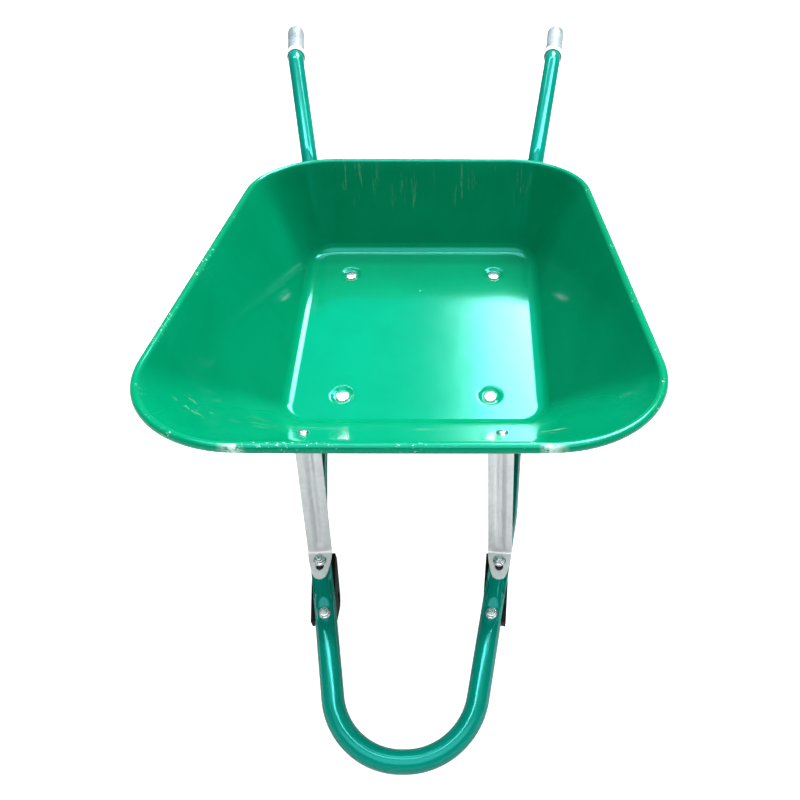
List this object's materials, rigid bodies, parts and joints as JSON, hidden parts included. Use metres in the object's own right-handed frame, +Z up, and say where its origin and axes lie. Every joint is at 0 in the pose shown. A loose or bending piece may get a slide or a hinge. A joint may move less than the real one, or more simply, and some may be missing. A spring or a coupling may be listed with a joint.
{
  "type": "wheelbarrow",
  "caption": "Builder's wheelbarrow without its wheel: pressed green tray on a bent tube frame with nose loop, stays, axle brackets, strip legs and handle grips.",
  "frame": {"origin": "on the ground under the middle of the bounding box, with the wheel-less barrow standing on its nose loop and the toes of its feet", "axes": "+Y from the nose to the handles, +X to the right as seen from behind the nose looking at the handles, +Z up"},
  "size_m": [0.6728, 1.3236, 0.6612],
  "materials": {
    "green_paint": "glossy green paint on pressed steel and tube, scuffed along the rim",
    "zinc": "bright zinc-plated fasteners",
    "galvanised": "pale galvanised strip with a soft spangle",
    "black_paint": "satin black",
    "grip_grey": "pale grey mottled plastic",
    "collar_white": "smooth off-white plastic"
  },
  "bodies": {
    "root": {"axle_bracket_left": "black_paint", "axle_bracket_right": "black_paint", "brace_bolt_left": "zinc", "brace_bolt_right": "zinc", "brace_nut_left": "zinc", "brace_nut_right": "zinc", "bracket_front_bolt_left": "zinc", "bracket_front_bolt_right": "zinc", "bracket_front_nut_left": "zinc", "bracket_front_nut_right": "zinc", "bracket_rear_bolt_left": "zinc", "bracket_rear_bolt_right": "zinc", "bracket_rear_nut_left": "zinc", "bracket_rear_nut_right": "zinc", "cross_member_front": "galvanised", "cross_member_rear": "galvanised", "frame_tube": "green_paint", "grip_collar_left": "collar_white", "grip_collar_right": "collar_white", "grip_left": "grip_grey", "grip_right": "grip_grey", "leg_brace": "galvanised", "leg_left": "galvanised", "leg_right": "galvanised", "leg_strut_left": "galvanised", "leg_strut_right": "galvanised", "rail_front_bolt_left": "zinc", "rail_front_bolt_right": "zinc", "rail_front_nut_left": "zinc", "rail_front_nut_right": "zinc", "rail_rear_bolt_left": "zinc", "rail_rear_bolt_right": "zinc", "rail_rear_nut_left": "zinc", "rail_rear_nut_right": "zinc", "stay_left": "galvanised", "stay_right": "galvanised", "stay_top_bolt_left": "zinc", "stay_top_bolt_right": "zinc", "stay_top_nut_left": "zinc", "stay_top_nut_right": "zinc", "stay_washer_left": "zinc", "stay_washer_right": "zinc", "strut_bolt_left": "zinc", "strut_bolt_right": "zinc", "strut_nut_left": "zinc", "strut_nut_right": "zinc", "tray": "green_paint", "tray_front_bolt_left": "zinc", "tray_front_bolt_right": "zinc", "tray_front_nut_left": "zinc", "tray_front_nut_right": "zinc", "tray_rear_bolt_left": "zinc", "tray_rear_bolt_right": "zinc", "tray_rear_nut_left": "zinc", "tray_rear_nut_right": "zinc"}
  },
  "joints": []
}
